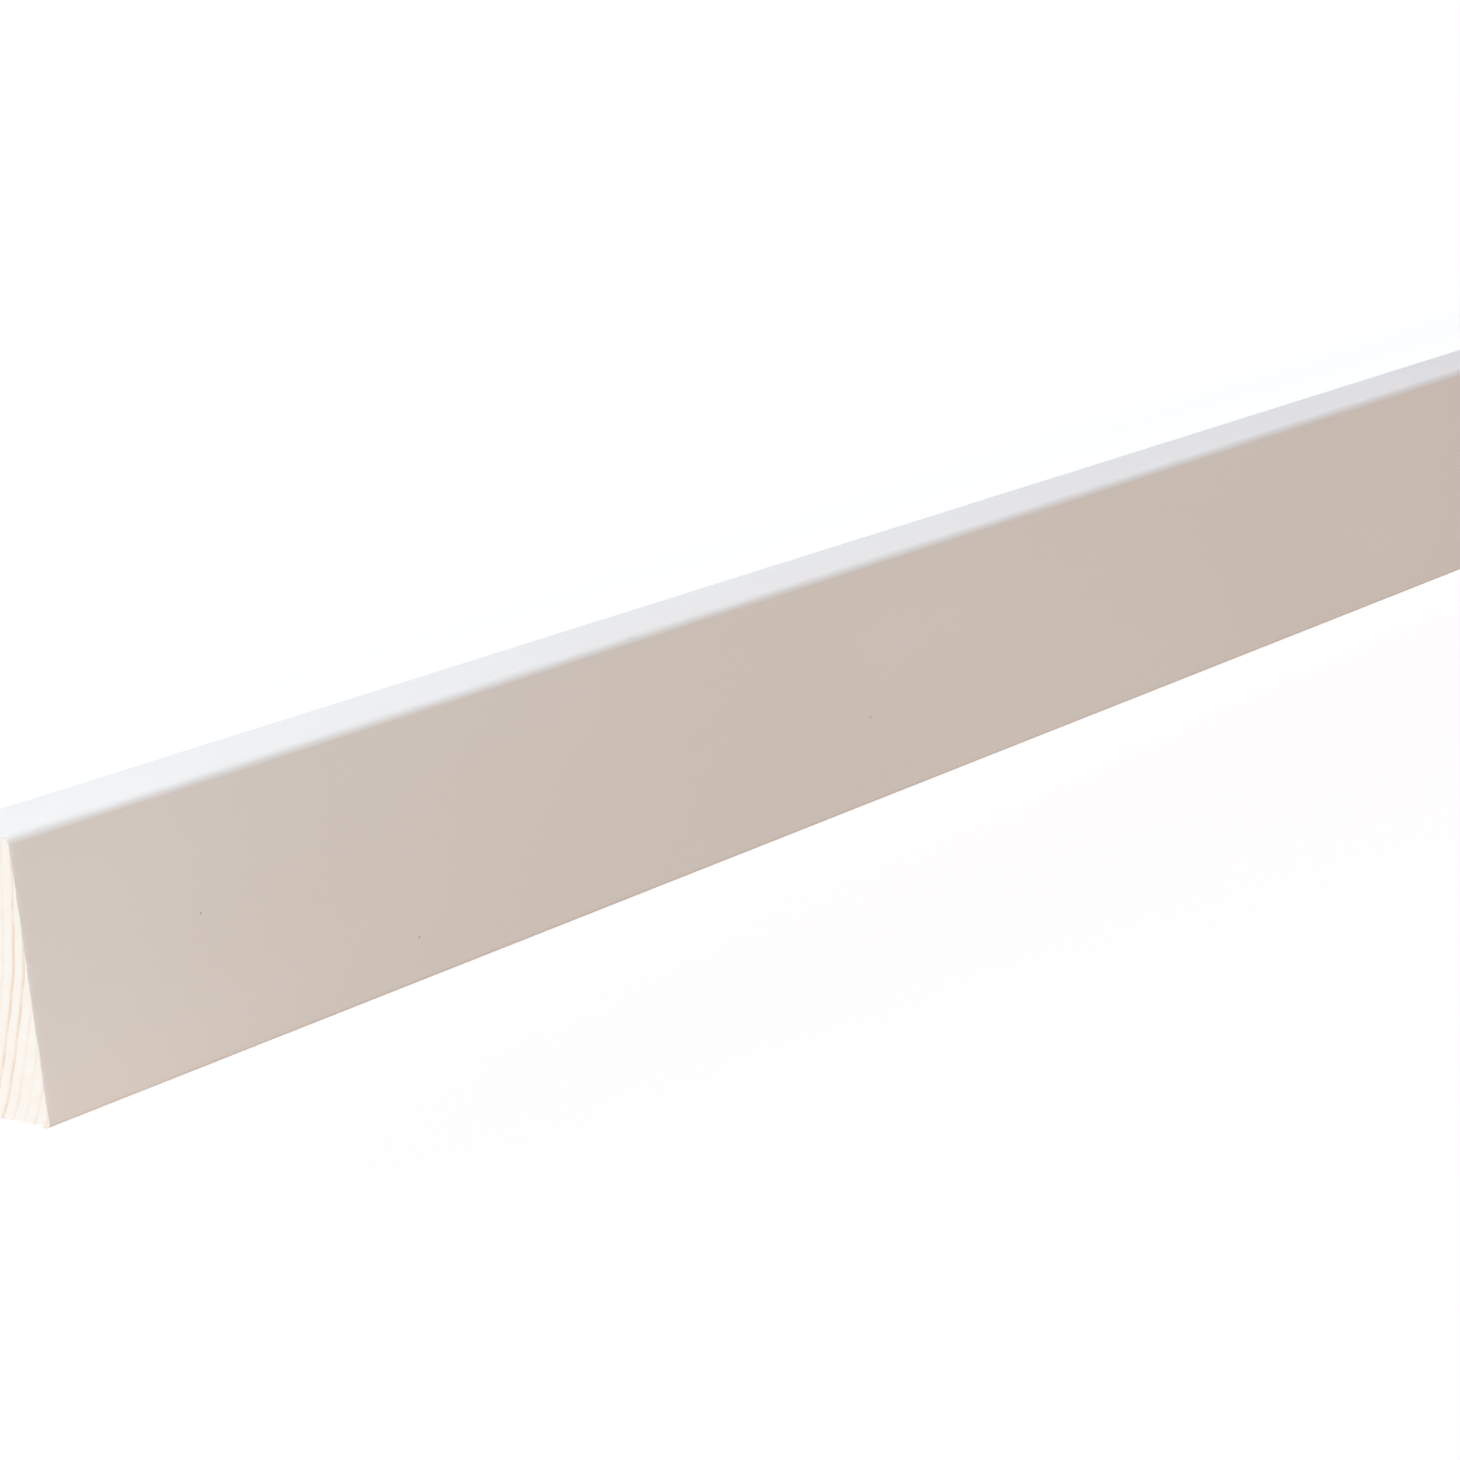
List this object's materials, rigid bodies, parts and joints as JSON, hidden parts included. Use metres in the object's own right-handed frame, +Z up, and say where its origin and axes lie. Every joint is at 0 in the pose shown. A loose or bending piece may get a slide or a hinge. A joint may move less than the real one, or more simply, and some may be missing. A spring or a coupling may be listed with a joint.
{
  "type": "edge trim strip",
  "caption": "Straight softwood trim strip with a slanted front face, eased edges, a flat back and square-sawn ends, painted white, for covering an edge or joint.",
  "frame": {"origin": "middle of the flat back face, which lies on the floor", "axes": "+X along the length, away from the pictured end; +Y across the width, towards the thin edge; +Z up, out of the front face"},
  "size_m": [2.4, 0.042, 0.0179],
  "materials": {
    "painted_pine": "white satin paint on the long faces, bare sawn ends"
  },
  "bodies": {
    "root": {"trim_strip": "painted_pine"}
  },
  "joints": []
}
